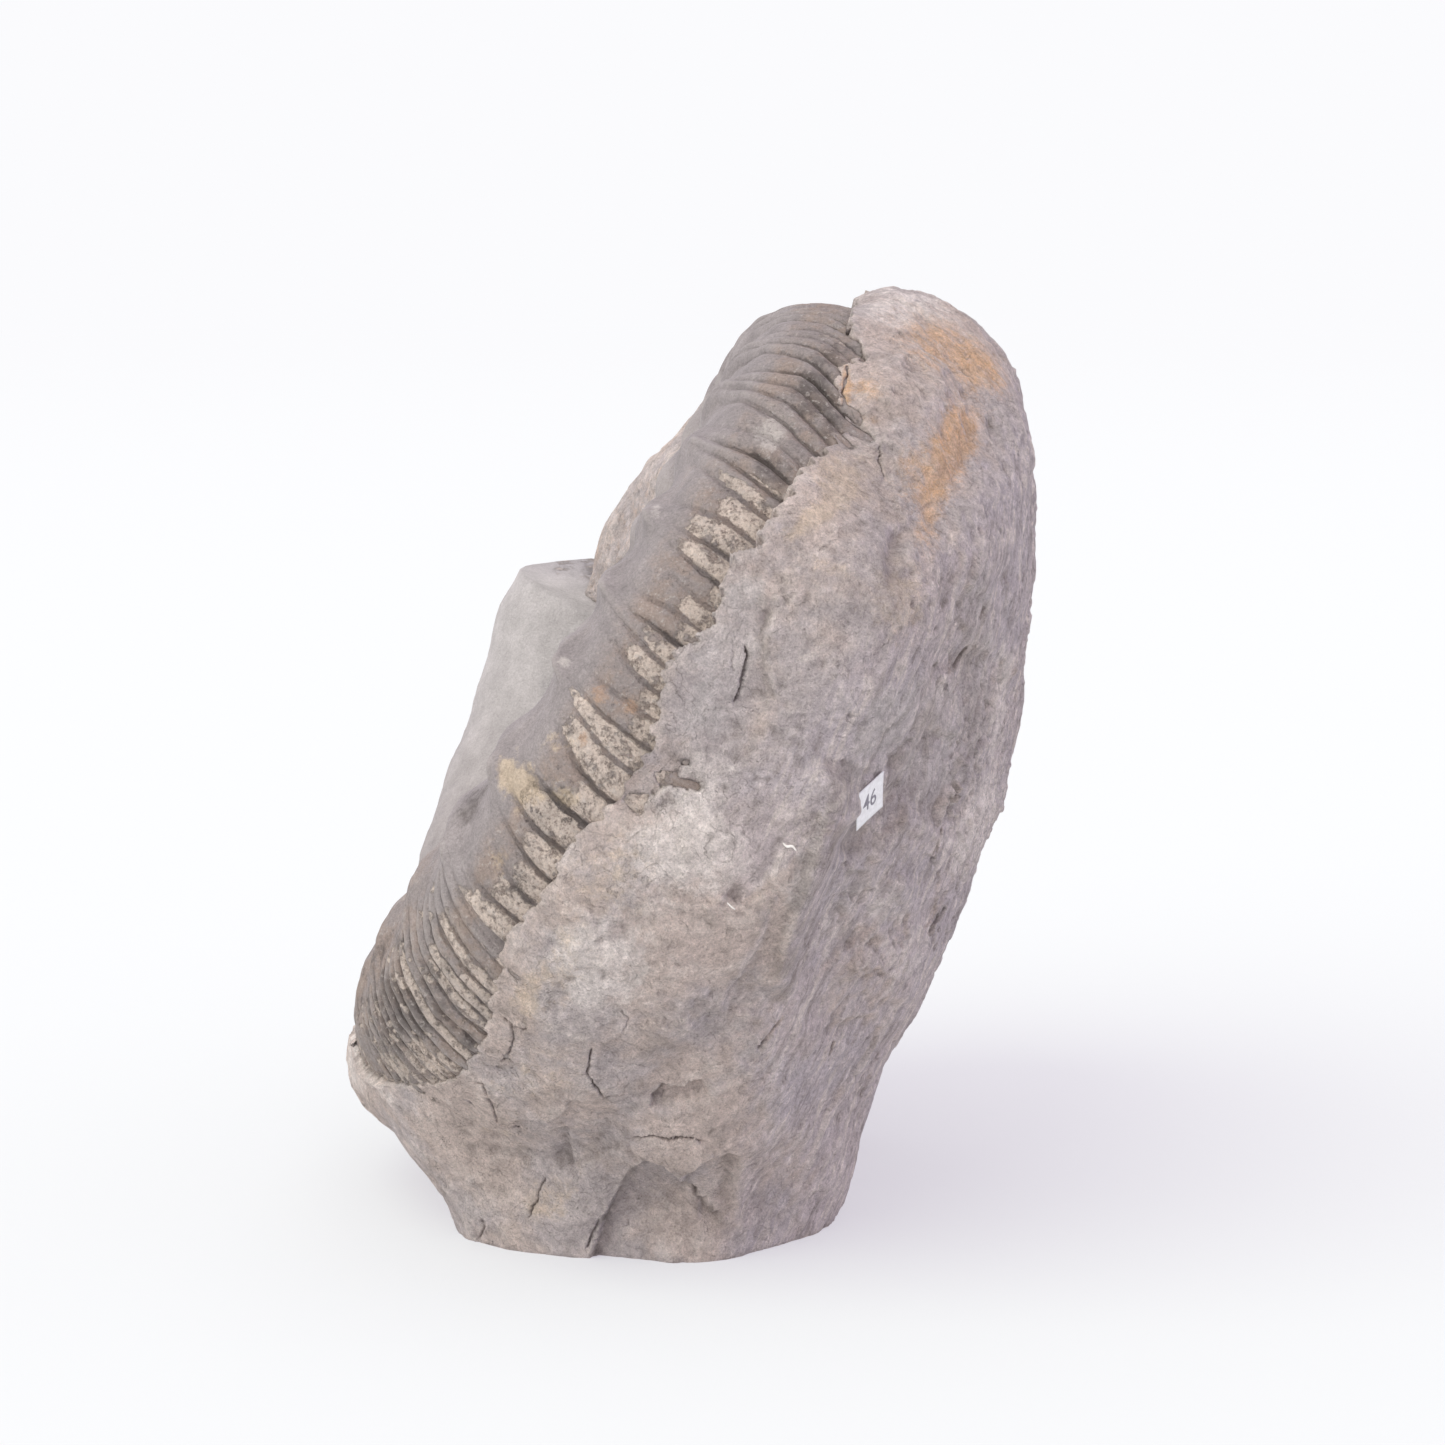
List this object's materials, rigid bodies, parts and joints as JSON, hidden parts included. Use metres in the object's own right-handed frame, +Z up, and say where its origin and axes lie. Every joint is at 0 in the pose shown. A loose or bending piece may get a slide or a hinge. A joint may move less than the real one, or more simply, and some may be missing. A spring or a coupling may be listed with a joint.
{
  "type": "ammonite fossil",
  "caption": "Ribbed ammonite seen edge-on, half out of its block of grey siltstone, which stands on a flat cut and has a small paper number on its side.",
  "frame": {"origin": "on the flat cut underneath, close to its middle", "axes": "+Z up from the flat cut; -Y towards the bare ribbed rim; +X towards the side that the block leans to, which carries the paper number"},
  "size_m": [0.1192, 0.1815, 0.1564],
  "materials": {
    "shell": "matt to satin, blue-grey with pale worn rib crests",
    "siltstone": "matt, grey-brown with rusty stains",
    "paper": "matt white paper"
  },
  "bodies": {
    "root": {"ammonite": "shell", "matrix_rock": "siltstone", "paper_number": "paper"}
  },
  "joints": []
}
